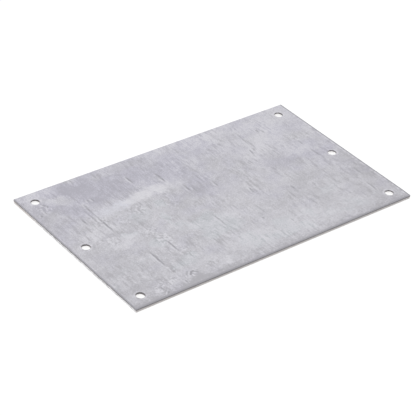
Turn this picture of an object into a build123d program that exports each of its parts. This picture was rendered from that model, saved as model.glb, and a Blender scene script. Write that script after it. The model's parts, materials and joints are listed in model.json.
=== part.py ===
from build123d import *

import os

# Rectangular cover plate, sheared and punched from one sheet of steel.
# Millimetres. The origin is the centre of the underside, +X runs along the plate's
# length, +Y along its width, and +Z is the face that the blade and the punch enter.

# Blank
plate_length = 250.0
plate_width = 150.0
plate_thickness = 3.0
corner_radius = 0.6         # sharp corners taken off with a file

# Screw holes, in one row across each end of the plate
hole_diameter = 6.6         # clearance for an M6 screw
end_margin = 11.5           # short edge to the centre line of a row
side_margin = 11.0          # long edge to the outer holes of a row
row_count = 2
holes_per_row = 3

# The marks of shear cutting follow the sheet's thickness, so they are shares of it
roll_share = 0.09           # edge rounded over where the tool enters
break_share = 0.52          # rough band that breaks away below the smooth cut
clearance_share = 0.06      # gap from tool to die, which the broken band leans across

roll_radius = roll_share * plate_thickness
break_depth = break_share * plate_thickness
break_lean = clearance_share * plate_thickness
smooth_depth = plate_thickness - break_depth

hole_radius = hole_diameter / 2
row_pitch = plate_length - 2 * end_margin
hole_pitch = (plate_width - 2 * side_margin) / (holes_per_row - 1)


def blank_outline(inset):
    """The plate's outline, drawn in by an inset on every side."""
    return RectangleRounded(plate_length - 2 * inset, plate_width - 2 * inset, corner_radius)


def sheared_blank():
    """Flat plate whose sides are cut square above and lean in where they broke."""
    break_plane = Plane.XY.offset(break_depth)
    broken_band = loft([blank_outline(break_lean), break_plane * blank_outline(0)], ruled=True)
    smooth_band = extrude(break_plane * blank_outline(0), smooth_depth)
    return broken_band + smooth_band


def punched_hole():
    """What one stroke of the punch removes: a true bore that flares where the slug broke."""
    align = (Align.CENTER, Align.CENTER, Align.MIN)
    bore = Cylinder(hole_radius, plate_thickness, align=align)
    flare = Cone(hole_radius + break_lean, hole_radius, break_depth, align=align)
    return bore + flare


def cover_plate():
    """The sheared and punched plate, with every cut edge of the top face rolled over."""
    places = GridLocations(row_pitch, hole_pitch, row_count, holes_per_row)
    plate = sheared_blank() - [place * punched_hole() for place in places]
    top_face = plate.faces().sort_by(Axis.Z)[-1]
    return fillet(top_face.edges(), roll_radius)


os.makedirs("parts", exist_ok=True)
export_step(cover_plate(), "parts/cover_plate.step")
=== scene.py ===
import json
import math
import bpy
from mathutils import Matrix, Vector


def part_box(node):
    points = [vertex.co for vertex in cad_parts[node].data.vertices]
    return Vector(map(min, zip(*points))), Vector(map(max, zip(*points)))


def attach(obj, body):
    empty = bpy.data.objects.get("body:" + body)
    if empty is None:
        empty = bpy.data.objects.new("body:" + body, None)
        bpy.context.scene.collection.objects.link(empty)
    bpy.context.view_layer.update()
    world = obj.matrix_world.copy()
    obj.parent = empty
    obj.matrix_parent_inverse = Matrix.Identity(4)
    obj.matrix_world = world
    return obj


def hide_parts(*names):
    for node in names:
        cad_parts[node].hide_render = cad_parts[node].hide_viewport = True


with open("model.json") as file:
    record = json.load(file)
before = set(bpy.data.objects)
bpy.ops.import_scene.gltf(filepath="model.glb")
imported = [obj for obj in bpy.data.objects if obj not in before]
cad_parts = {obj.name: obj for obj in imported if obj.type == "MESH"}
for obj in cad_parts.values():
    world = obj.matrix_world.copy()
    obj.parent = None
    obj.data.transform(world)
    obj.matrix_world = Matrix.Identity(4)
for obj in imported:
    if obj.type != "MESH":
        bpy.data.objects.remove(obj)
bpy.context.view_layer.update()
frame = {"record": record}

from types import SimpleNamespace

import bmesh
import bpy
from bpy.props import FloatProperty, FloatVectorProperty, IntProperty, PointerProperty
from mathutils import Matrix, Vector

bl_info = {
    "name": "Rectangular Cover Plate",
    "version": (1, 0, 0),
    "blender": (4, 5, 0),
    "location": "3D View > Sidebar > Cover Plate",
    "description": "Sheared and punched zinc-coated steel plate on a pale floor",
    "category": "Add Mesh",
}

MM = 0.001
NODE = "cover_plate"
BODY = "root"

PLATE_LOW, PLATE_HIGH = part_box(NODE)
LENGTH, WIDTH, THICKNESS = PLATE_HIGH - PLATE_LOW

MOUNTS = {mount["name"]: mount for mount in frame["record"]["mounts"]}
HOLES = MOUNTS["corner_holes"]["dims"]
HOLE_RADIUS = HOLES["hole_r_mm"] * MM
ROW_X = HOLES["spacing_x_mm"] * MM / 2
OUTER_Y = HOLES["spacing_y_mm"] * MM / 2
ROW_PLACES = (-ROW_X, ROW_X)
HOLE_PLACES = (-OUTER_Y, 0.0, OUTER_Y)
HOLE_CENTRES = [(x, y) for x in ROW_PLACES for y in HOLE_PLACES]

# How the parts of the mesh are told apart.
WALL_TILT = 0.35         # the most that the normal of a cut wall's face rises or falls
SIDE_REACH = 0.3 * MM    # how far in from a short side the points of its wall lie at most
FRONT_REACH = 2.25 * MM  # how far back from the front side the points of its wall lie at most
SLACK = 0.1 * MM         # how far off a face of the plate a point may lie and still count as on it
BREAK_SHARE = 0.75       # share of the tear's height that parts the break from the cut above it

# How far below the top face its marks reach, so that the underside has none of them.
MARK_REACH = 1.5 * MM

# Streaks across the plate: X and Y of the middle, half the length (mm), lean out of the Y
# direction (degrees) and depth (share).
STREAKS = (
    (-87, 32, 9, 0, 0.55), (-86.8, 14, 17, 0, 0.90), (-90, 25.5, 10, 0, 0.65),
    (-97.5, 24, 8, 0, 0.45), (-81.3, 12, 4.5, 0, 0.55), (-80, -38, 15, 0, 0.85),
    (-62, -31, 12.5, 0, 0.75), (-40.2, 51, 8, 0, 0.75), (-19, 42, 10, 0, 1.00),
    (-10.3, 21, 9, 0, 0.65), (-6.5, 16, 6, 0, 0.60), (-30.5, 17.5, 7, 0, 0.45),
    (-56.5, 14, 5, 0, 0.60), (-54, 43.5, 2.5, 0, 0.59), (28.4, -6.8, 6, -9, 0.75),
    (23.8, -5, 8, 0, 0.40), (66.5, 51, 14, -4, 0.60), (64.5, 35, 5, -6, 0.60),
    (61, 33, 5.5, -8, 0.70), (101.7, 23.5, 5.5, 0, 0.65), (102.5, 9, 7, 0, 0.60),
    (-15, -24, 14, 0, 0.60), (-11, -27, 8, 0, 0.40), (18.8, -29, 12, 0, 0.45),
    (11, 14, 6, 0, 0.70), (5, 26, 8, 0, 0.45), (-47.5, 54, 7, 0, 0.50), (-59.5, 69, 7, 0, 0.59),
    (50.6, -26.5, 10, 0, 0.50), (56.5, -24, 9, 0, 0.40), (58, -42, 10, 0, 0.50),
    (76.5, -27, 5, 0, 0.35), (108.5, -50, 9, 0, 0.65), (113.2, -29, 9, 0, 0.59),
    (-31.5, -48.5, 9, 0, 0.35), (71, -8, 8, 0, 0.40), (-45, -4, 6, 0, 0.45),
    (83.3, 54, 3.5, 0, 0.65), (35, -44, 8, 0, 0.40), (91, -19, 9, 0, 0.40), (-70, -50, 7, 0, 0.40),
    (-104, 35, 6, 0, 0.45), (-114.5, 49.5, 6, 0, 0.60), (-86.5, 38.5, 7.5, 0, 0.60),
    (-95.5, 40, 8, 0, 0.40), (-81, 45, 3.5, -6, 0.60), (-77.5, 44.5, 3.5, 6, 0.60),
    (-119.3, 46.5, 1.8, 0, 0.80), (-111, 57, 2.6, 30, 0.90), (-109.5, 54, 2.2, -20, 0.80),
    (-98, 25, 5, 0, 0.35), (86.7, 51, 3.5, 0, 0.60), (67.6, 42, 12, -3, 0.50),
    (50.5, 59.5, 4, 0, 0.45), (51.6, 22.5, 5, 0, 0.45), (29.5, -52, 2.5, 0, 0.50),
    (-38.5, -52, 3, 0, 0.45), (13.2, -39, 1.8, 0, 0.70), (73.8, -24.5, 4, 0, 0.45),
    (57, -19.5, 4.5, 0, 0.50), (63, -37.5, 4, 0, 0.40), (102.8, 4, 4, 0, 0.55),
    (-2.5, -45, 3, 0, 0.35), (-70.8, -63.2, 3.2, -40, 0.85), (-66.4, -63.4, 3, 40, 0.80),
    (-68.6, -61.9, 2.6, 88, 0.80), (-97, -66, 4, 5, 0.75), (-96, -71.8, 2.8, -50, 0.85),
    (-78.5, -68.5, 2.8, 0, 0.60), (-104.5, -68, 2.2, 30, 0.45), (-79, -55, 2.4, -35, 0.55),
    (-109, -53.5, 3.6, 80, 0.30), (-50, -71.5, 2.5, 70, 0.40), (109, -25, 5, 0, 0.50),
    (118, -20.5, 5, 0, 0.50), (121, -38, 6, 0, 0.45), (-51.2, 22, 5, 0, 0.45),
    (106.3, -36, 4, 0, 0.45),
)

# Patches of the coating: X and Y of the middle, half the length and half the width (mm),
# turn (degrees), tone (duller below 0, brighter above) and tint (cooler below 0, more
# violet above).
PATCHES = (
    (-66, 52, 44, 22, -12, -0.30, 0.6), (-103, 46, 26, 8, -45, -0.26, 0.4),
    (-85, 64, 24, 14, 0, -0.16, 0.4), (0, 17, 20, 20, 0, -0.22, 0.7),
    (20, 60, 28, 14, 0, -0.14, 0.4), (72, 12, 28, 15, 0, -0.18, 0.3),
    (71, -24, 26, 16, 0, -0.16, 0.0), (40, -31, 16, 12, 0, -0.14, 0.0),
    (-67, -36, 20, 15, 0, -0.20, 0.0), (-112, -46, 28, 28, 0, -0.28, -0.2),
    (25, 69, 60, 22, 0, 0.14, 0.0), (62, 42, 34, 26, 0, 0.16, 0.0),
    (20, -18, 70, 40, 0, 0.13, 0.0), (-122, 36, 20, 34, 0, -0.24, 0.0),
    (-118, -68, 24, 16, 0, -0.20, 0.0), (-6, 38, 20, 14, 0, -0.14, 0.3),
    (-88, -9, 18, 10, 0, 0.26, -0.3), (-97, 9, 18, 9, 10, 0.22, -0.5),
    (-42, -16, 16, 12, 0, 0.14, -0.8), (-18, -25, 28, 22, 0, 0.12, -1.2),
    (8, -56, 40, 16, 0, 0.08, -0.8), (-66, -46, 18, 14, 0, 0.06, -0.7),
    (100, 62, 44, 24, 0, 0.26, 0.0), (80, 40, 30, 18, 30, 0.16, 0.0),
    (45, 68, 34, 14, 0, 0.20, 0.0), (101, 36, 4, 8, 0, 0.34, 0.0), (0, -52, 70, 20, 0, 0.14, 0.0),
    (-60, 6, 34, 16, 5, 0.06, -0.7), (52, 16, 14, 26, -45, 0.14, 0.0),
    (112, -50, 24, 34, 0, -0.18, 0.0), (-88, -62, 14, 7, 0, 0.20, 0.0),
    (-52, -60, 18, 9, 0, 0.16, 0.0), (105, 10, 22, 24, 0, -0.06, 0.6),
    (-2, 46, 26, 22, 0, 0.06, 0.5), (72, -58, 26, 12, 0, 0.08, -0.6),
    (8, 44, 16, 12, 0, 0.05, -0.5), (-22, 56, 36, 17, 0, -0.30, 0.3),
    (-76, 41, 12, 9, 0, -0.28, 0.2), (-25, 6, 18, 14, 0, -0.17, 0.0),
    (-18, -11, 18, 12, 0, -0.26, 0.2), (121, -20, 16, 26, 0, -0.34, 0.0),
    (-95, -24, 22, 14, 0, -0.20, 0.0), (-38, -18, 24, 12, 0, -0.16, 0.0),
    (-66, -31, 15, 12, 0, 0.34, 0.0), (-113, -45, 24, 14, 0, 0.24, 0.0),
    (-91, -61, 9, 8, 0, -0.32, 0.0), (44, -62, 26, 12, 0, 0.16, 0.0),
    (76, -30, 20, 14, 0, 0.22, 0.0), (92, 20, 17, 12, 0, 0.22, 0.0),
    (122, 28, 12, 34, 0, 0.12, 0.0), (-104, -30, 44, 38, 0, 0.04, -0.20),
    (-112, -64, 26, 12, 0, 0.14, 0.0), (-72, -69, 16, 9, 0, -0.14, 0.2),
    (75, -25, 34, 26, 0, 0.0, -0.35), (-60, 20, 30, 14, 0, 0.0, -0.30),
    (-68, 3, 15, 7, -15, -0.22, 0.0), (-79.5, -6.5, 7, 6, 0, 0.20, -1.7),
    (-38, 16, 9, 6, 0, 0.06, -1.3), (-46, -2, 6, 9, 0, 0.12, -1.5),
    (-70, -22, 9, 8, -40, 0.06, -1.4), (-67.5, -69, 7, 4.5, 0, -0.45, 0.2),
    (-101, -65, 4, 4, 0, 0.35, 0.0), (-111, 72, 24, 10, 0, 0.24, 0.3),
    (-98, 55, 18, 8, -35, 0.24, -0.4), (-88, 66, 15, 7, -30, -0.22, 0.8),
    (-68, 43, 9, 7, 0, -0.14, 0.2), (-39.5, -65, 6, 4, 0, 0.34, 0.0),
    (-12, -51, 9, 6, 0, 0.10, -1.4), (14, -63, 9, 5, 0, 0.06, -1.4),
    (34, -64, 8, 6, 0, 0.10, -1.4), (45, -50, 7, 7, 0, 0.06, -1.4),
    (-33, -19, 9, 7, 0, 0.14, -1.0),
)

# The smear that something rubbed bright: X and Y of the middle, half the length and half the
# width (mm), turn (degrees) and strength.
SMEAR = (
    (-77, 26.5, 14, 7.5, 6, 0.70), (-62, 28.6, 18, 7.8, 4, 1.0), (-43, 30.4, 21, 8, 4, 1.0),
    (-29, 31.2, 12, 8.8, 0, 1.0), (-15, 29, 11, 9, -20, 0.42), (-70, 15, 14, 7, 15, 0.30),
)

# Scuffs, where the coating is torn up in crumbs: X and Y of the middle, half the length and
# half the width (mm), turn (degrees) and strength.
SCUFFS = (
    (-70.5, -63.5, 8, 4.5, 10, 1.0), (-97, -65.5, 6, 8, 0, 1.0), (-89, -61, 10, 5, -20, 0.7),
    (-60, -40, 7, 5, 0, 0.6), (-113, 52, 6, 8, 30, 0.8), (-103, -2, 9, 5, 0, 0.4),
    (-79, -52, 5, 5, 0, 0.7), (-50, -61, 9, 4, 0, 0.5), (-57, 17, 7, 9, 0, 0.7),
    (-88, 20, 9, 14, 0, 0.5), (-72, 12, 9, 8, 0, 0.5), (-27, 28, 10, 8, 0, 0.4),
    (-65, -9, 7, 6, 0, 0.7), (-62, -21, 9, 9, 0, 0.7), (-93, -5, 7, 9, 0, 0.6),
    (-31, 12, 9, 12, 0, 0.4),
)


class PlateSettings(bpy.types.PropertyGroup):
    """How the shear blade and the punch left the plate's edges."""

    corner_radius: FloatProperty(
        name="Corner radius", description="Sharp corners taken off with a file",
        default=0.6 * MM, unit="LENGTH")
    roll_width: FloatProperty(
        name="Roll width", description="How far in from an edge the face starts to roll over",
        default=0.7 * MM, unit="LENGTH")
    roll_depth: FloatProperty(
        name="Roll depth", description="How far the rolled edge drops",
        default=0.27 * MM, unit="LENGTH")
    roll_steps: IntProperty(
        name="Roll steps", description="Mesh steps over the roll",
        default=4, min=1)
    droop_width: FloatProperty(
        name="Droop width", description="How far in the blade bent the front edge down",
        default=9.0 * MM, unit="LENGTH")
    droop: FloatProperty(
        name="Droop", description="How far the blade bent the front edge down",
        default=0.22 * MM, unit="LENGTH")
    break_height: FloatProperty(
        name="Break height", description="Height of the rough broken band above the underside",
        default=1.56 * MM, unit="LENGTH")
    side_rise: FloatProperty(
        name="Side rise", description="How much higher the break starts on the short sides",
        default=0.40 * MM, unit="LENGTH")
    bore_break_height: FloatProperty(
        name="Bore break height", description="Height of the flare at the bottom of a left hole",
        default=1.35 * MM, unit="LENGTH")
    worn_break_height: FloatProperty(
        name="Worn break height",
        description="Height of the flare in the right holes, where the punch was looser",
        default=1.65 * MM, unit="LENGTH")
    break_lean: FloatProperty(
        name="Break lean", description="How far the broken band leans in towards the underside",
        default=0.18 * MM, unit="LENGTH")
    break_waver: FloatProperty(
        name="Break waver", description="How far the top of the broken band wanders up and down",
        default=0.9 * MM, unit="LENGTH")
    break_grain: FloatProperty(
        name="Break grain", description="Size of the torn lumps on the broken band",
        default=0.8 * MM, unit="LENGTH")
    break_relief: FloatProperty(
        name="Break relief", description="Depth of the torn lumps on the broken band",
        default=0.30 * MM, unit="LENGTH")
    break_start: FloatProperty(
        name="Break start", description="How far below its top the broken band is fully torn",
        default=0.4 * MM, unit="LENGTH")
    long_waves: FloatProperty(
        name="Long waves", description="Length of the waves in the top of the broken band",
        default=5.0 * MM, unit="LENGTH")
    short_waves: FloatProperty(
        name="Short waves", description="Length of the waves, half as high, between the long ones",
        default=1.3 * MM, unit="LENGTH")
    hole_cell: FloatProperty(
        name="Hole cell", description="Half the side of the square of mesh round a hole",
        default=6.4 * MM, unit="LENGTH")
    hole_steps: IntProperty(
        name="Hole steps", description="Mesh steps along each side of a hole's square",
        default=12, min=4)
    mesh_step: FloatProperty(
        name="Mesh step", description="Mesh spacing between the holes",
        default=2.4 * MM, unit="LENGTH")
    rim_cuts: IntProperty(
        name="Rim cuts", description="Cuts of each mesh step on the sheared edges",
        default=4, min=1)
    bore_cuts: IntProperty(
        name="Bore cuts", description="Cuts of each mesh step on the punched walls",
        default=2, min=1)
    smooth_angle: FloatProperty(
        name="Smooth angle", description="Edges that turn less than this are shaded smooth",
        default=math.radians(38), subtype="ANGLE")


class FinishSettings(bpy.types.PropertyGroup):
    """Colours of the zinc coating and of the bare cut steel, some of which also serve painted
    highlights and shade.
    """

    zinc: FloatVectorProperty(
        name="Zinc", description="The coating's usual colour",
        default=(0.548, 0.541, 0.578), subtype="COLOR")
    zinc_violet: FloatVectorProperty(
        name="Violet zinc", description="The coating where it is more violet",
        default=(0.539, 0.530, 0.597), subtype="COLOR")
    zinc_teal: FloatVectorProperty(
        name="Teal zinc", description="The coating where it is bluish",
        default=(0.545, 0.556, 0.590), subtype="COLOR")
    # Also what the coating keeps of its colour in the painted shade along the front edge.
    zinc_dull_and_shade: FloatVectorProperty(
        name="Dull zinc", description="What the coating keeps of its colour where it is dullest",
        default=(0.818, 0.814, 0.814), subtype="COLOR")
    # Also the colour of the painted highlights beside the deepest streaks, round the holes and just
    # inside the right edge.
    zinc_rubbed_and_highlit: FloatVectorProperty(
        name="Rubbed zinc", description="The coating where something has rubbed it bright",
        default=(0.662, 0.655, 0.695), subtype="COLOR")
    smeared: FloatVectorProperty(
        name="Smear", description="The long smear where it is rubbed brightest",
        default=(0.688, 0.681, 0.718), subtype="COLOR")
    smeared_cool: FloatVectorProperty(
        name="Cool smear", description="The left half of the long smear",
        default=(0.664, 0.666, 0.728), subtype="COLOR")
    # Also the colour of the painted shade along the rolled edges.
    streak_and_edge_shade: FloatVectorProperty(
        name="Streak", description="Shallow drawn streaks across the plate",
        default=(0.330, 0.326, 0.356), subtype="COLOR")
    cut_steel: FloatVectorProperty(
        name="Cut steel", description="The smooth band that the blade cut",
        default=(0.170, 0.160, 0.165), subtype="COLOR")
    cut_mark: FloatVectorProperty(
        name="Cut mark", description="Lighter scores down the smooth band",
        default=(0.440, 0.425, 0.430), subtype="COLOR")
    broken_steel: FloatVectorProperty(
        name="Broken steel", description="The rough band that broke away",
        default=(0.790, 0.780, 0.795), subtype="COLOR")
    # Painted shade in the hollows of the rough band.
    broken_hollow_shade: FloatVectorProperty(
        name="Broken hollow", description="Hollows of the rough band",
        default=(0.520, 0.512, 0.522), subtype="COLOR")
    # Painted shade with a warm tint on the front wall's broken band, and a stain towards the back.
    shade_and_stain_steel: FloatVectorProperty(
        name="Stained steel", description="The broken band where handling has stained it",
        default=(0.600, 0.566, 0.554), subtype="COLOR")
    bore_break: FloatVectorProperty(
        name="Bore break", description="The clean flare at the bottom of each hole",
        default=(0.970, 0.960, 0.960), subtype="COLOR")
    # Painted shade in the hollows of the flare; also the darker colour of the back holes' flare.
    bore_hollow_shade: FloatVectorProperty(
        name="Bore hollow", description="Hollows of the flare",
        default=(0.900, 0.890, 0.890), subtype="COLOR")


class StageSettings(bpy.types.PropertyGroup):
    """Camera, floor and studio light."""

    azimuth: FloatProperty(
        name="Azimuth", description="Where the camera stands round the plate",
        default=math.radians(-40.6154), subtype="ANGLE")
    elevation: FloatProperty(
        name="Elevation", description="How steeply the camera looks down",
        default=math.radians(34.7093), subtype="ANGLE")
    roll: FloatProperty(
        name="Roll", description="Turn of the camera about its own line of sight",
        default=math.radians(4.8426), subtype="ANGLE")
    distance: FloatProperty(
        name="Distance", description="From the camera to the point that it looks at",
        default=1.17731, unit="LENGTH")
    aim: FloatVectorProperty(
        name="Aim", description="The point of the top face at the middle of the view",
        default=(-13.069 * MM, -8.091 * MM, 3.0 * MM), subtype="XYZ", unit="LENGTH")
    lens: FloatProperty(
        name="Lens", description="Focal length in millimetres on a 36 mm sensor",
        default=141.748)
    floor_size: FloatProperty(
        name="Floor size", description="Side of the square floor",
        default=6.0, unit="LENGTH")
    floor_gap: FloatProperty(
        name="Floor gap", description="How far the floor lies below the plate's underside",
        default=0.02 * MM, unit="LENGTH")
    floor_pale: FloatProperty(
        name="Floor paleness", description="How much light the floor throws back on the plate",
        default=0.8, min=0.0, max=1.0)
    floor_shade: FloatProperty(
        name="Floor shade",
        description="How much light the floor adds to its glow, and so how dark shadows on it are",
        default=0.13, min=0.0, max=1.0)
    floor_glow: FloatProperty(
        name="Floor glow", description="How white the floor looks where no light reaches it",
        default=0.93, min=0.0, max=1.0)
    sky: FloatProperty(
        name="Sky", description="Strength of the even light from all round",
        default=0.70, min=0.0)
    lamp_power: FloatProperty(
        name="Lamp power", description="Power of the large lamp at the left, in watts",
        default=19.0, min=0.0)
    lamp_place: FloatVectorProperty(
        name="Lamp place", description="Where the large lamp at the left hangs",
        default=(-1.15, 0.30, 0.95), subtype="XYZ", unit="LENGTH")
    lamp_size: FloatProperty(
        name="Lamp size", description="Side of the large lamp's square face",
        default=3.0, unit="LENGTH")


# ---------------------------------------------------------------- modelling tools

def edit(piece):
    """Opens one piece for editing with nothing on it selected."""
    object_mode()
    bpy.ops.object.select_all(action="DESELECT")
    piece.select_set(True)
    bpy.context.view_layer.objects.active = piece
    bpy.ops.object.mode_set(mode="EDIT")
    bpy.ops.mesh.select_all(action="DESELECT")


def object_mode():
    """Leaves edit mode if a piece is open."""
    if bpy.context.mode != "OBJECT":
        bpy.ops.object.mode_set(mode="OBJECT")


def pick(piece, kind, test):
    """Selects the vertices, edges or faces of the open piece that pass a test."""
    bpy.ops.mesh.select_mode(type=kind)
    bpy.ops.mesh.select_all(action="DESELECT")
    mesh = bmesh.from_edit_mesh(piece.data)
    for element in {"VERT": mesh.verts, "EDGE": mesh.edges, "FACE": mesh.faces}[kind]:
        if test(element):
            element.select_set(True)
    mesh.select_flush_mode()
    bmesh.update_edit_mesh(piece.data)


def middle(edge):
    """The middle of an edge."""
    return (edge.verts[0].co + edge.verts[1].co) / 2


def near_hole(point, centre, half):
    """Whether a point lies within a square round one hole."""
    return max(abs(point.x - centre[0]), abs(point.y - centre[1])) < half


def near_any_hole(point, half):
    """Whether a point lies within a square round any hole."""
    return any(near_hole(point, centre, half) for centre in HOLE_CENTRES)


def is_open(edge):
    """Whether an edge has a face on one side only."""
    return len(edge.link_faces) == 1


def on_short_side(point):
    """Whether a point lies on the left or the right wall."""
    return abs(point.x) > LENGTH / 2 - SIDE_REACH


def on_front_side(point):
    """Whether a point lies on the front wall."""
    return point.y < FRONT_REACH - WIDTH / 2


def is_upright(face):
    """Whether a face belongs to a cut wall, and not to a flat face or its roll."""
    return abs(face.normal.z) < WALL_TILT


# ---------------------------------------------------------------- plate

def spaced(start, end, step):
    """Places strictly between two ends, no further apart than a step."""
    count = max(1, math.ceil((end - start) / step))
    return [start + (end - start) * i / count for i in range(1, count)]


def mesh_lines(centres, half_side, settings):
    """Where a face is cut in one direction, so that every hole gets its square."""
    cell = settings.hole_cell
    steps = settings.hole_steps
    places = []
    previous = -half_side
    for centre in centres:
        places += spaced(previous, centre - cell, settings.mesh_step)
        places += [centre + cell * (2 * i / steps - 1) for i in range(steps + 1)]
        previous = centre + cell
    places += spaced(previous, half_side, settings.mesh_step)
    return places


def open_hole(face, centre, radius, height, settings):
    """Swaps a square of faces for a ring of faces that ends in a circle."""
    cell = settings.hole_cell
    pick(face, "FACE", lambda f: near_hole(f.calc_center_median(), centre, cell))
    bpy.ops.mesh.delete(type="FACE")
    bpy.ops.mesh.primitive_circle_add(
        vertices=4 * settings.hole_steps, radius=radius, location=(*centre, height))
    pick(face, "EDGE", lambda e: len(e.link_faces) < 2
         and near_hole(middle(e), centre, cell + settings.roll_width))
    bpy.ops.mesh.bridge_edge_loops(number_cuts=2, interpolation="LINEAR")


def holed_face(name, inset, height, hole_radius, settings):
    """One flat face of the plate, cut into a mesh with six round holes in it."""
    object_mode()
    bpy.ops.object.select_all(action="DESELECT")
    bpy.ops.mesh.primitive_plane_add(size=1.0, location=(0.0, 0.0, 0.0))
    face = bpy.context.object
    face.name = name
    edit(face)
    bpy.ops.mesh.select_all(action="SELECT")
    bpy.ops.transform.resize(value=(LENGTH - 2 * inset, WIDTH - 2 * inset, 1.0),
                             center_override=(0.0, 0.0, 0.0))
    bpy.ops.transform.translate(value=(0.0, 0.0, height))
    bpy.ops.mesh.bevel(offset=settings.corner_radius, segments=3, affect="VERTICES")
    half_length = LENGTH / 2 - settings.roll_width
    half_width = WIDTH / 2 - settings.roll_width
    for axis, centres, half_side in ((0, ROW_PLACES, half_length), (1, HOLE_PLACES, half_width)):
        for place in mesh_lines(centres, half_side, settings):
            point = Vector((0.0, 0.0, 0.0))
            normal = Vector((0.0, 0.0, 0.0))
            point[axis] = place
            normal[axis] = 1.0
            bpy.ops.mesh.select_all(action="SELECT")
            bpy.ops.mesh.bisect(plane_co=point, plane_no=normal)
    for centre in HOLE_CENTRES:
        open_hole(face, centre, hole_radius, height, settings)
    return face


def droop_front(plate, settings):
    """Bends the front edge of the top face down, more and more towards the edge."""
    front = 2 * settings.roll_width - WIDTH / 2
    pick(plate, "VERT", lambda v: v.co.y < front)
    bpy.ops.transform.translate(
        value=(0.0, 0.0, -settings.droop), use_proportional_edit=True,
        proportional_edit_falloff="SHARP", proportional_size=settings.droop_width)


def cut_stations(settings, tear):
    """Each step over the roll and down the smooth cut, as how far in and how far down it lies."""
    steps = settings.roll_steps
    turns = [math.pi / 2 * (i + 1) / steps for i in range(steps)]
    roll = [(settings.roll_width * (1 - math.sin(turn)),
             settings.roll_depth * (1 - math.cos(turn))) for turn in turns]
    return roll + [(0.0, THICKNESS - tear)]


def draw_down_rim(plate, settings):
    """Carries the outer edge over its roll and down the smooth cut."""
    inset, dropped = settings.roll_width, 0.0
    pick(plate, "EDGE", lambda e: is_open(e) and not near_any_hole(middle(e), settings.hole_cell))
    for inward, drop in cut_stations(settings, settings.break_height):
        bpy.ops.mesh.extrude_edges_move(
            TRANSFORM_OT_translate={"value": (0.0, 0.0, dropped - drop)})
        bpy.ops.transform.resize(
            value=((LENGTH - 2 * inward) / (LENGTH - 2 * inset),
                   (WIDTH - 2 * inward) / (WIDTH - 2 * inset), 1.0),
            center_override=(0.0, 0.0, 0.0))
        inset, dropped = inward, drop
    pick(plate, "VERT", lambda v: on_short_side(v.co)
         and v.co.z < THICKNESS - settings.roll_depth - settings.side_rise)
    bpy.ops.transform.translate(value=(0.0, 0.0, settings.side_rise))


def draw_down_hole(plate, centre, settings):
    """Carries a hole's mouth over its roll and down the punched bore."""
    radius, dropped = HOLE_RADIUS + settings.roll_width, 0.0
    pick(plate, "EDGE", lambda e: is_open(e) and near_hole(middle(e), centre, settings.hole_cell))
    for outward, drop in cut_stations(settings, tear_height(Vector((*centre, 0.0)), settings)):
        bpy.ops.mesh.extrude_edges_move(
            TRANSFORM_OT_translate={"value": (0.0, 0.0, dropped - drop)})
        wanted = HOLE_RADIUS + outward
        bpy.ops.transform.resize(value=(wanted / radius, wanted / radius, 1.0),
                                 center_override=(*centre, 0.0))
        radius, dropped = wanted, drop


def close_plate(plate, underside, settings):
    """Joins the underside on, and bridges the broken band of the rim and of each hole."""
    object_mode()
    bpy.ops.object.select_all(action="DESELECT")
    underside.select_set(True)
    plate.select_set(True)
    bpy.context.view_layer.objects.active = plate
    bpy.ops.object.join()
    edit(plate)
    pick(plate, "EDGE", lambda e: is_open(e) and not near_any_hole(middle(e), settings.hole_cell))
    bpy.ops.mesh.bridge_edge_loops()
    for centre in HOLE_CENTRES:
        pick(plate, "EDGE",
             lambda e: is_open(e) and near_hole(middle(e), centre, settings.hole_cell))
        bpy.ops.mesh.bridge_edge_loops()
    bpy.ops.mesh.select_all(action="SELECT")
    bpy.ops.mesh.normals_make_consistent(inside=False)


def is_broken(face, settings):
    """Whether a face of a wall belongs to its break, and not to the cut above it."""
    centre = face.calc_center_median()
    return centre.z < tear_height(centre, settings) * BREAK_SHARE


def in_any_hole(face, settings):
    """Whether a face belongs to the square of mesh round a hole."""
    return near_any_hole(face.calc_center_median(), settings.hole_cell)


def give_material(plate, material, test):
    """Gives a material to the faces that pass a test."""
    plate.data.materials.append(material)
    plate.active_material_index = len(plate.data.materials) - 1
    pick(plate, "FACE", test)
    bpy.ops.object.material_slot_assign()


def divide_walls(plate, settings):
    """Divides the cut walls finely enough to carry the torn shape of the break."""
    pick(plate, "FACE", lambda f: is_upright(f) and not in_any_hole(f, settings))
    bpy.ops.mesh.subdivide(number_cuts=settings.rim_cuts)
    pick(plate, "FACE", lambda f: is_upright(f) and in_any_hole(f, settings))
    bpy.ops.mesh.subdivide(number_cuts=settings.bore_cuts)


def weigh(plate, name, weight):
    """A vertex group that holds each vertex by the weight of its place."""
    group = plate.vertex_groups.new(name=name)
    for vertex in plate.data.vertices:
        share = weight(vertex.co)
        if share > 0.0:
            group.add([vertex.index], share, "REPLACE")


def lumps(plate, name, group, size, depth, direction, mid_level):
    """Pushes a vertex group in and out by a cloudy pattern, and keeps the result."""
    pattern = bpy.data.textures.new(name, "CLOUDS")
    pattern.noise_scale = size
    pattern.noise_depth = 2
    shaping = plate.modifiers.new(name, "DISPLACE")
    shaping.texture = pattern
    shaping.texture_coords = "LOCAL"
    shaping.vertex_group = group
    shaping.direction = direction
    shaping.strength = depth
    shaping.mid_level = mid_level
    bpy.ops.object.modifier_apply(modifier=name)


def tear_height(point, settings):
    """How high the break starts on the wall that a point belongs to."""
    if near_any_hole(point, settings.hole_cell):
        return settings.worn_break_height if point.x > 0.0 else settings.bore_break_height
    if on_short_side(point):
        return settings.break_height + settings.side_rise
    if on_front_side(point):
        return settings.break_height - settings.droop
    return settings.break_height


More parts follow.
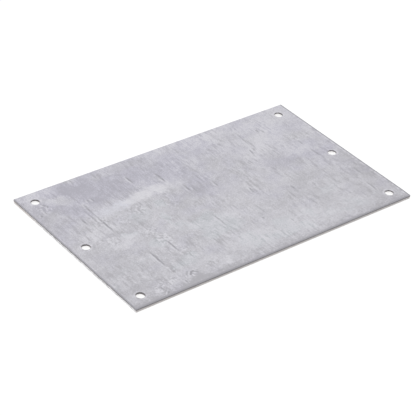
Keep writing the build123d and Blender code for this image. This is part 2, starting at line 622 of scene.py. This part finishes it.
def tear_break(plate, settings):
    """Lets the top of the broken band wander, and roughens the band below it."""
    top = THICKNESS - settings.roll_depth

    def on_wall(point):
        sides = max(abs(point.x) - LENGTH / 2, abs(point.y) - WIDTH / 2)
        return sides > -settings.break_lean - settings.break_relief or near_any_hole(
            point, HOLE_RADIUS + settings.break_lean + SLACK)

    def waver_weight(point):
        if not on_wall(point):
            return 0.0
        tear = tear_height(point, settings)
        room = top - settings.droop - tear if point.z > tear else tear
        return max(0.0, 1.0 - abs(point.z - tear) / room)

    def break_weight(point):
        if not on_wall(point) or point.z < SLACK:
            return 0.0
        depth = tear_height(point, settings) - point.z
        return min(1.0, max(0.0, depth / settings.break_start))

    weigh(plate, "waver", waver_weight)
    weigh(plate, "break", break_weight)
    lumps(plate, "long_waver", "waver", settings.long_waves, settings.break_waver, "Z", 0.5)
    lumps(plate, "short_waver", "waver", settings.short_waves, settings.break_waver / 2, "Z", 0.5)
    lumps(plate, "torn_lumps", "break", settings.break_grain, settings.break_relief, "NORMAL", 0.8)
    plate.vertex_groups.clear()


def check_closed(plate):
    """Stops the work if the plate's mesh has an open or a doubled edge."""
    mesh = bmesh.new()
    mesh.from_mesh(plate.data)
    faults = sum(1 for edge in mesh.edges if len(edge.link_faces) != 2)
    mesh.free()
    if faults:
        raise RuntimeError(f"the plate's mesh has {faults} edges that aren't closed")


def make_plate_mesh(settings, zinc, rim, bore):
    """The whole plate as one closed mesh, with its zinc, and the cut and the break of each wall."""
    plate = holed_face("plate_sheet", settings.roll_width, THICKNESS,
                       HOLE_RADIUS + settings.roll_width, settings)
    droop_front(plate, settings)
    draw_down_rim(plate, settings)
    for centre in HOLE_CENTRES:
        draw_down_hole(plate, centre, settings)
    underside = holed_face("underside", settings.break_lean, 0.0,
                           HOLE_RADIUS + settings.break_lean, settings)
    close_plate(plate, underside, settings)
    give_material(plate, zinc, lambda f: not is_upright(f))
    for in_hole, finishes in ((False, rim), (True, bore)):
        for broken, finish in zip((False, True), finishes):
            give_material(plate, finish, lambda f: is_upright(f)
                          and in_any_hole(f, settings) == in_hole
                          and is_broken(f, settings) == broken)
    divide_walls(plate, settings)
    object_mode()
    tear_break(plate, settings)
    bpy.ops.object.shade_smooth_by_angle(angle=settings.smooth_angle)
    check_closed(plate)
    return plate


# ---------------------------------------------------------------- materials

class Finish:
    """One material in the making: its shader, and tools that add patterns to it."""

    def __init__(self, name, roughness, metallic):
        self.material = bpy.data.materials.new(name)
        self.material.use_nodes = True
        self.tree = self.material.node_tree
        self.shader = self.tree.nodes["Principled BSDF"]
        self.shader.inputs["Metallic"].default_value = metallic
        self.roughness = roughness
        self.place = self.tree.nodes.new("ShaderNodeTexCoord").outputs["Object"]
        self.axes = self.add("ShaderNodeSeparateXYZ", {"Vector": self.place}).outputs

    def add(self, kind, inputs, **properties):
        """Adds a node, sets its properties and fills its inputs with values or links."""
        node = self.tree.nodes.new(kind)
        for name, value in properties.items():
            setattr(node, name, value)
        for name, value in inputs.items():
            if isinstance(value, bpy.types.NodeSocket):
                self.tree.links.new(value, node.inputs[name])
            else:
                node.inputs[name].default_value = value
        return node

    def laid(self, size, turn=0.0, centre=(0.0, 0.0, 0.0), place=None):
        """Coordinates in which a pattern has a size, a turn and a centre on the plate."""
        return self.add("ShaderNodeMapping", {
            "Vector": place or self.place, "Location": centre,
            "Rotation": (0.0, 0.0, turn), "Scale": size}, vector_type="TEXTURE").outputs["Vector"]

    def noise(self, size, seed, detail=2.0, rough=0.5):
        """A cloudy pattern round 0.5, whose lumps have a size (mm) along each axis."""
        return self.add("ShaderNodeTexNoise", {
            "Vector": self.laid([side * MM for side in size]), "W": seed, "Scale": 1.0,
            "Detail": detail, "Roughness": rough}, noise_dimensions="4D").outputs["Fac"]

    def maths(self, operation, *values):
        """Arithmetic on numbers or patterns."""
        return self.add("ShaderNodeMath", dict(enumerate(values)),
                        operation=operation).outputs["Value"]

    def sway(self, pattern, amount):
        """A pattern round 0.5 turned into a swing each side of zero."""
        return self.times(self.maths("SUBTRACT", pattern, 0.5), amount)

    def total(self, first, *others):
        """The sum of several patterns."""
        for other in others:
            first = self.maths("ADD", first, other)
        return first

    def times(self, one, other):
        """The product of two patterns, or of a pattern and a number."""
        return self.maths("MULTIPLY", one, other)

    def ramp(self, pattern, low, high, start=0.0, end=1.0, kind="LINEAR"):
        """An even rise from one value to another as a pattern goes from low to high.

        A soft step needs no clamp, and without one many more marks fit into a shader.
        """
        return self.add("ShaderNodeMapRange", {
            "Value": pattern, "From Min": low, "From Max": high, "To Min": start, "To Max": end},
            interpolation_type=kind, clamp=kind == "LINEAR").outputs["Result"]

    def between(self, pattern, low, high, start=0.0, end=1.0):
        """A soft step from one value to another as a pattern goes from low to high."""
        return self.ramp(pattern, low, high, start, end, "SMOOTHSTEP")

    def wobbly(self, size, push):
        """Coordinates pushed about by a cloudy pattern, for marks with uneven edges."""
        clouds = self.add("ShaderNodeTexNoise", {
            "Vector": self.laid((size, size, size)), "Scale": 1.0, "Detail": 2.0})
        swing = self.add("ShaderNodeVectorMath", {0: clouds.outputs["Color"], 1: (0.5, 0.5, 0.5)},
                         operation="SUBTRACT")
        return self.add("ShaderNodeVectorMath", {0: swing.outputs[0], 1: push, 2: self.place},
                        operation="MULTIPLY_ADD").outputs[0]

    def oval(self, place, centre, size, lean, soft):
        """An oval mark on the top face: 1 in its middle and 0 at its edge."""
        spot = self.laid((size[0] * MM, size[1] * MM, MARK_REACH), math.radians(lean),
                         (centre[0] * MM, centre[1] * MM, THICKNESS), place)
        fade = self.add("ShaderNodeTexGradient", {"Vector": spot}, gradient_type="SPHERICAL")
        return self.between(fade.outputs["Fac"], 0.0, soft)

    def mixed(self, share, one, other, blend="MIX"):
        """One colour turning into another by a share, or multiplied by it."""
        node = self.add("ShaderNodeMix", {0: share}, data_type="RGBA", blend_type=blend)
        for socket, colour in ((node.inputs[6], one), (node.inputs[7], other)):
            if isinstance(colour, bpy.types.NodeSocket):
                self.tree.links.new(colour, socket)
            else:
                socket.default_value = (*colour, 1.0)
        return node.outputs[2]

    def finish(self, colour, uneven, height, depth):
        """Joins colour, uneven roughness and relief to the shader."""
        roughness = self.maths("ADD", uneven, self.roughness)
        bump = self.add("ShaderNodeBump", {"Height": height, "Distance": depth})
        self.tree.links.new(colour, self.shader.inputs["Base Color"])
        self.tree.links.new(roughness, self.shader.inputs["Roughness"])
        self.tree.links.new(bump.outputs["Normal"], self.shader.inputs["Normal"])
        return self.material


def streaks(coat, half_width, aside=0.0, least=0.0):
    """The streaks of at least some depth, as one pattern."""
    place = coat.wobbly(4.0 * MM, (1.1 * MM, 0.0, 0.0))
    whole = 0.0
    for x, y, half_length, lean, depth in STREAKS:
        if depth >= least:
            mark = coat.oval(place, (x + aside, y), (half_width, half_length), lean, 0.75)
            whole = coat.maths("MULTIPLY_ADD", mark, depth, whole)
    return whole


def patches(coat):
    """The tone and the tint of all the patches."""
    place = coat.wobbly(9.0 * MM, (16.0 * MM, 16.0 * MM, 0.0))
    tones = tints = 0.0
    for x, y, half_length, half_width, turn, tone, tint in PATCHES:
        patch = coat.oval(place, (x, y), (half_length, half_width), turn, 0.7)
        tones = coat.maths("MULTIPLY_ADD", patch, tone, tones)
        if tint:
            tints = coat.maths("MULTIPLY_ADD", patch, tint, tints)
    return tones, tints


def smear(coat, lines):
    """How bright the smear is rubbed, with its edges combed out along the drawn lines."""
    comb = coat.add("ShaderNodeCombineXYZ", {"Y": coat.sway(lines, 7.0 * MM)})
    place = coat.add("ShaderNodeVectorMath", {
        0: coat.wobbly(3.5 * MM, (5.0 * MM, 5.0 * MM, 0.0)), 1: comb.outputs[0]},
        operation="ADD").outputs[0]
    whole = 0.0
    for x, y, half_length, half_width, turn, strength in SMEAR:
        rub = coat.oval(place, (x, y), (half_length, half_width), turn, 0.80)
        whole = coat.maths("MAXIMUM", coat.times(rub, strength), whole)
    return whole


def scuffs(coat):
    """The crumbly tone of all the scuffs."""
    place = coat.wobbly(4.0 * MM, (8.0 * MM, 8.0 * MM, 0.0))
    crumbs = coat.sway(coat.noise((1.6, 1.9, 2), 8.0), 6.0)
    whole = 0.0
    for x, y, half_length, half_width, turn, strength in SCUFFS:
        scuff = coat.oval(place, (x, y), (half_length, half_width), turn, 0.6)
        whole = coat.maths("MULTIPLY_ADD", scuff, strength, whole)
    return coat.times(whole, crumbs)


def zinc_noise(coat):
    """The cloudy patterns of the coating, each with a size of lump and a seed of its own."""
    return SimpleNamespace(
        drift=coat.noise((70, 45, 70), 1.0, 1.0),
        clouds=coat.noise((15, 9, 12), 2.0, 3.0, 0.6),
        mottle=coat.noise((4.2, 3.4, 4), 3.0),
        lines=coat.noise((1.7, 8, 5), 4.0, 1.0),
        grain=coat.noise((1.0, 1.1, 1), 5.0, 1.0),
        tint=coat.noise((20, 14, 20), 6.0),
        lined=coat.noise((14, 18, 14), 7.0, 1.0),
        brushed=coat.noise((0.28, 2.6, 1), 9.0, 2.0, 0.6),
        pits=coat.noise((0.42, 0.46, 0.4), 10.0, 3.0, 0.65))


def painted_front_shade(coat, noise):
    """Painted shade: how much darker the coating is made along the front edge, where its drooped
    roll faces away from the light, most of all at its left end.
    """
    inward = coat.total(coat.axes["Y"], coat.sway(noise.mottle, 7 * MM),
                        coat.sway(noise.grain, 7 * MM))
    along = coat.between(inward, -WIDTH / 2, 7.5 * MM - WIDTH / 2, -0.40, 0.0)
    end = coat.between(inward, -WIDTH / 2, 6.5 * MM - WIDTH / 2, -0.55, 0.0)
    at_left = coat.between(coat.axes["X"], -75 * MM, -25 * MM, 1.0, 0.0)
    return coat.maths("MULTIPLY_ADD", end, at_left, along)


def zinc_tone(coat, noise, tones, rubbed):
    """How bright the coating is, painted shade along the front edge included: 0 where it is
    dullest, 1 where it is rubbed bright.
    """
    hatching = coat.times(coat.between(noise.lines, 0.40, 0.76, 0.10, -0.36),
                          coat.between(noise.lined, 0.40, 0.62, 0.25, 1.3))
    return coat.total(
        0.5, coat.sway(noise.drift, 0.35), coat.sway(noise.clouds, 0.85),
        coat.sway(noise.mottle, 0.8), coat.sway(noise.grain, 1.5), hatching,
        painted_front_shade(coat, noise), tones, scuffs(coat), coat.sway(noise.brushed, 0.9),
        coat.sway(noise.pits, 0.9), coat.times(rubbed, 0.16))


def zinc_colour(coat, noise, colours, tone, tints):
    """The coating's colour before anything is laid over it, from its tint and its tone."""
    violet = coat.total(coat.sway(noise.tint, 3.0), 0.24, tints,
                        coat.ramp(coat.axes["Y"], -WIDTH / 2, WIDTH / 2, -0.35, 0.40))
    usual = coat.mixed(violet, colours.zinc, colours.zinc_violet)
    usual = coat.mixed(coat.ramp(violet, -0.4, -1.0), usual, colours.zinc_teal)
    colour = coat.mixed(coat.ramp(tone, 0.5, 0.0), usual, colours.zinc_dull_and_shade, "MULTIPLY")
    return coat.mixed(coat.ramp(tone, 0.5, 1.0), colour, colours.zinc_rubbed_and_highlit)


def smear_colour(coat, noise, colours):
    """The smear's colour, cooler in its left half."""
    along = coat.total(coat.axes["X"], coat.sway(noise.mottle, 30 * MM))
    return coat.mixed(coat.between(along, -66 * MM, -50 * MM),
                      colours.smeared_cool, colours.smeared)


def painted_streak_highlights(coat, noise):
    """A painted highlight on the left side of the deepest streaks, in places."""
    return coat.times(streaks(coat, 1.2, aside=-1.5, least=0.6),
                      coat.between(noise.clouds, 0.40, 0.56, 0.15, 0.95))


def painted_hole_highlights(coat, noise):
    """A painted highlight: a bright ring round each hole, broken up by the mottle, where the rolled
    mouth would catch the light.
    """
    along = coat.maths("SUBTRACT", coat.maths("ABSOLUTE", coat.axes["X"]), ROW_X)
    across = coat.maths("ABSOLUTE", coat.axes["Y"])
    across = coat.maths("MINIMUM", across, coat.maths("ABSOLUTE", coat.maths(
        "SUBTRACT", across, OUTER_Y)))
    far = coat.maths("SQRT", coat.maths("MULTIPLY_ADD", along, along, coat.times(across, across)))
    ring = coat.times(coat.between(far, HOLE_RADIUS + 0.3 * MM, HOLE_RADIUS + 0.8 * MM),
                      coat.between(far, HOLE_RADIUS + 1.0 * MM, HOLE_RADIUS + 2.0 * MM, 1.0, 0.0))
    return coat.times(ring, coat.between(noise.mottle, 0.38, 0.60, 0.10, 0.85))


def torn_streaks(coat, noise, dark):
    """The streaks with the coating torn along them."""
    tears = coat.total(coat.sway(noise.brushed, 2.2), coat.sway(noise.pits, 1.6))
    torn = coat.maths("MULTIPLY_ADD", dark, tears, dark)
    return coat.times(coat.between(torn, 0.05, 1.05),
                      coat.between(noise.mottle, 0.30, 0.55, 0.50, 1.0))


def painted_right_highlight(coat, noise):
    """A painted highlight, here and there, just inside the right edge."""
    return coat.times(coat.between(noise.mottle, 0.42, 0.60, 0.0, 0.7), coat.between(
        coat.axes["X"], LENGTH / 2 - 3.5 * MM, LENGTH / 2 - 2.2 * MM))


def painted_edge_shade(coat):
    """Painted shade: a dark line along the roll of the left, the right and the front edge."""
    left = coat.between(coat.axes["X"], 1.3 * MM - LENGTH / 2, 0.4 * MM - LENGTH / 2, 0.0, 0.95)
    right = coat.between(coat.axes["X"], LENGTH / 2 - 1.7 * MM, LENGTH / 2 - 0.7 * MM)
    front = coat.between(coat.axes["Y"], 2.1 * MM - WIDTH / 2, 0.5 * MM - WIDTH / 2, 0.0, 0.8)
    return coat.maths("MAXIMUM", coat.maths("MAXIMUM", left, right), front)


def zinc_coat(colours):
    """Dull zinc with cloudy patches, fine drawn lines, short streaks and a rubbed smear, with
    painted highlights and painted shade laid over it.
    """
    coat = Finish("zinc_coat", 0.50, 0.60)
    noise = zinc_noise(coat)
    tones, tints = patches(coat)
    rubbed = smear(coat, noise.lines)
    bared = coat.times(rubbed, coat.total(
        0.80, coat.sway(noise.lines, 0.8), coat.sway(noise.grain, 1.3),
        coat.sway(noise.mottle, 1.6)))
    dark = streaks(coat, 1.3)
    colour = zinc_colour(coat, noise, colours, zinc_tone(coat, noise, tones, rubbed), tints)
    for share, laid_over in (
            (bared, smear_colour(coat, noise, colours)),
            # Painted highlights beside the deepest streaks, round the holes and inside the right
            # edge, and painted shade along the rolled edges.
            (painted_streak_highlights(coat, noise), colours.zinc_rubbed_and_highlit),
            (painted_hole_highlights(coat, noise), colours.zinc_rubbed_and_highlit),
            (torn_streaks(coat, noise, dark), colours.streak_and_edge_shade),
            (painted_right_highlight(coat, noise), colours.zinc_rubbed_and_highlit),
            (painted_edge_shade(coat), colours.streak_and_edge_shade)):
        colour = coat.mixed(share, colour, laid_over)
    uneven = coat.total(coat.sway(noise.clouds, 0.15), coat.sway(noise.lines, 0.12),
                        coat.sway(noise.pits, 0.30), coat.times(bared, -0.06))
    relief = coat.total(coat.sway(noise.grain, 0.6), coat.sway(noise.lines, 1.0),
                        coat.sway(noise.brushed, 0.35), coat.sway(noise.pits, 0.35),
                        coat.times(dark, -1.4))
    return coat.finish(colour, uneven, relief, 0.02 * MM)


def cut_steel(name, cut, mark, fade):
    """A smooth band, scored up and down by the blade, and lighter lower down by a fade."""
    band = Finish(name, 0.36, 0.9)
    scores = band.noise((0.5, 0.5, 9), 11.0, 3.0, 0.6)
    blotches = band.noise((5, 5, 3), 12.0)
    down = band.between(band.axes["Z"], 1.4 * MM, 2.1 * MM, fade, -0.24)
    share = band.between(band.total(scores, band.sway(blotches, 0.8), down), 0.42, 0.85)
    colour = band.mixed(share, cut, mark)
    return band.finish(colour, band.sway(scores, 0.2), scores, 0.04 * MM)


def broken_steel(name, crest, hollow, shade_and_stain, roughness, metallic, depth):
    """A torn band, darker in its hollows by painted shade, bright on its crests, stained towards
    the back, and on the front wall darker and warmer by painted shade.
    """
    band = Finish(name, roughness, metallic)
    grit = band.noise((0.35, 0.35, 0.45), 21.0, 3.0, 0.6)
    blotches = band.noise((4, 4, 1.2), 22.0, 3.0)
    # The hollows' colour is painted shade where the grit's bump sinks, mixed with random blotches.
    share = band.between(band.total(grit, band.sway(blotches, 1.2)), 0.35, 0.60)
    # Painted shade with a warm tint on the front wall, and a stain towards the back.
    front = band.between(band.axes["Y"], 0.5 * MM - WIDTH / 2, 0.8 * MM - WIDTH / 2, 0.8, 0.0)
    back = band.between(band.axes["Y"], 35 * MM, 55 * MM, 0.0, 0.9)
    colour = band.mixed(band.maths("MAXIMUM", front, back), band.mixed(share, hollow, crest), shade_and_stain)
    return band.finish(colour, band.sway(grit, 0.3), grit, depth)


# ---------------------------------------------------------------- stage

def grey(level):
    """A plain grey of a given lightness."""
    return (level, level, level, 1.0)


def seen_or_mirrored(tree):
    """A pattern that is 1 for rays that the camera, a gloss or a clear part sends out."""
    path = tree.nodes.new("ShaderNodeLightPath")
    value = path.outputs["Is Camera Ray"]
    for name in ("Is Glossy Ray", "Is Transmission Ray"):
        either = tree.nodes.new("ShaderNodeMath")
        either.operation = "MAXIMUM"
        tree.links.new(value, either.inputs[0])
        tree.links.new(path.outputs[name], either.inputs[1])
        value = either.outputs["Value"]
    return value


def floor_paint(settings):
    """A pale floor that looks white, and keeps the plate's shadow."""
    material = bpy.data.materials.new("pale_floor")
    material.use_nodes = True
    tree = material.node_tree
    tree.nodes.clear()
    output = tree.nodes.new("ShaderNodeOutputMaterial")
    switch = tree.nodes.new("ShaderNodeMixShader")
    pale = tree.nodes.new("ShaderNodeBsdfDiffuse")
    pale.inputs["Color"].default_value = grey(settings.floor_pale)
    shaded = tree.nodes.new("ShaderNodeBsdfDiffuse")
    shaded.inputs["Color"].default_value = grey(settings.floor_shade)
    glow = tree.nodes.new("ShaderNodeEmission")
    glow.inputs["Strength"].default_value = settings.floor_glow
    white = tree.nodes.new("ShaderNodeAddShader")
    tree.links.new(shaded.outputs[0], white.inputs[0])
    tree.links.new(glow.outputs[0], white.inputs[1])
    tree.links.new(seen_or_mirrored(tree), switch.inputs[0])
    tree.links.new(pale.outputs[0], switch.inputs[1])
    tree.links.new(white.outputs[0], switch.inputs[2])
    tree.links.new(switch.outputs[0], output.inputs["Surface"])
    return material


def even_sky(settings):
    """Even light from all round, which looks white where it is seen or mirrored."""
    world = bpy.data.worlds.new("even_sky")
    world.use_nodes = True
    tree = world.node_tree
    level = tree.nodes.new("ShaderNodeMath")
    level.operation = "MULTIPLY_ADD"
    tree.links.new(seen_or_mirrored(tree), level.inputs[0])
    level.inputs[1].default_value = 1.0 - settings.sky
    level.inputs[2].default_value = settings.sky
    background = tree.nodes["Background"]
    background.inputs["Color"].default_value = grey(1.0)
    tree.links.new(level.outputs[0], background.inputs["Strength"])
    bpy.context.scene.world = world


def facing(back, turn=0.0):
    """The rotation of a camera or lamp whose back points in a direction."""
    back = back.normalized()
    right = Vector((0.0, 0.0, 1.0)).cross(back).normalized()
    up = back.cross(right)
    upright = Matrix((right, up, back)).transposed()
    return (upright @ Matrix.Rotation(turn, 3, "Z")).to_euler()


def place_camera(settings):
    """The camera, aimed at the top face from the front left."""
    a, e = settings.azimuth, settings.elevation
    back = Vector((math.sin(a) * math.cos(e), -math.cos(a) * math.cos(e), math.sin(e)))
    data = bpy.data.cameras.new("camera")
    data.sensor_width = 36.0
    data.lens = settings.lens
    data.clip_start = 0.01
    camera = bpy.data.objects.new("camera", data)
    camera.location = Vector(settings.aim) + back * settings.distance
    camera.rotation_euler = facing(back, settings.roll)
    bpy.context.scene.collection.objects.link(camera)
    bpy.context.scene.camera = camera


def hang_lamp(settings):
    """A large square lamp that faces the plate."""
    data = bpy.data.lights.new("lamp", "AREA")
    data.shape = "SQUARE"
    data.size = settings.lamp_size
    data.energy = settings.lamp_power
    lamp = bpy.data.objects.new("lamp", data)
    lamp.location = settings.lamp_place
    lamp.rotation_euler = facing(Vector(settings.lamp_place))
    bpy.context.scene.collection.objects.link(lamp)


def lay_floor(settings):
    """The floor that the plate lies on."""
    object_mode()
    bpy.ops.object.select_all(action="DESELECT")
    bpy.ops.mesh.primitive_plane_add(
        size=settings.floor_size, location=(0.0, 0.0, -settings.floor_gap))
    floor = bpy.context.object
    floor.name = "floor"
    floor.data.materials.append(floor_paint(settings))


# ---------------------------------------------------------------- add-on

class COVERPLATE_OT_make_plate(bpy.types.Operator):
    """Model the sheared and punched plate and give it its finishes"""

    bl_idname = "cover_plate.make_plate"
    bl_label = "Make Plate"
    bl_options = {"REGISTER", "UNDO"}

    def execute(self, context):
        colours = context.scene.cover_plate_finish
        rim_cut = cut_steel("rim_cut", colours.cut_steel, colours.cut_mark, 0.55)
        bore_cut = cut_steel("bore_cut", colours.cut_steel, colours.cut_mark, 0.0)
        rim_break = broken_steel("rim_break", colours.broken_steel, colours.broken_hollow_shade,
                                 colours.shade_and_stain_steel, 0.65, 0.3, 0.05 * MM)
        bore_break = broken_steel("bore_break", colours.bore_break, colours.bore_hollow_shade,
                                  colours.bore_hollow_shade, 0.30, 1.0, 0.02 * MM)
        plate = make_plate_mesh(context.scene.cover_plate, zinc_coat(colours),
                                (rim_cut, rim_break), (bore_cut, bore_break))
        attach(plate, BODY)
        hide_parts(NODE)
        return {"FINISHED"}


class COVERPLATE_OT_make_stage(bpy.types.Operator):
    """Lay the floor, hang the lamp and place the camera"""

    bl_idname = "cover_plate.make_stage"
    bl_label = "Make Stage"
    bl_options = {"REGISTER", "UNDO"}

    def execute(self, context):
        settings = context.scene.cover_plate_stage
        lay_floor(settings)
        even_sky(settings)
        hang_lamp(settings)
        place_camera(settings)
        context.scene.view_settings.view_transform = "Standard"
        return {"FINISHED"}


class COVERPLATE_PT_panel(bpy.types.Panel):
    """Buttons that make the plate and its stage"""

    bl_idname = "COVERPLATE_PT_panel"
    bl_label = "Cover Plate"
    bl_space_type = "VIEW_3D"
    bl_region_type = "UI"
    bl_category = "Cover Plate"

    def draw(self, context):
        self.layout.operator(COVERPLATE_OT_make_plate.bl_idname)
        self.layout.operator(COVERPLATE_OT_make_stage.bl_idname)


CLASSES = (PlateSettings, FinishSettings, StageSettings, COVERPLATE_OT_make_plate,
           COVERPLATE_OT_make_stage, COVERPLATE_PT_panel)


def register():
    """Makes the add-on's settings, operators and panel known to Blender."""
    for cls in CLASSES:
        bpy.utils.register_class(cls)
    bpy.types.Scene.cover_plate = PointerProperty(type=PlateSettings)
    bpy.types.Scene.cover_plate_finish = PointerProperty(type=FinishSettings)
    bpy.types.Scene.cover_plate_stage = PointerProperty(type=StageSettings)


def unregister():
    """Takes them away again."""
    del bpy.types.Scene.cover_plate_stage
    del bpy.types.Scene.cover_plate_finish
    del bpy.types.Scene.cover_plate
    for cls in reversed(CLASSES):
        bpy.utils.unregister_class(cls)


def main():
    """Makes the plate and its stage."""
    register()
    bpy.ops.cover_plate.make_plate()
    bpy.ops.cover_plate.make_stage()


if __name__ == "__main__":
    main()
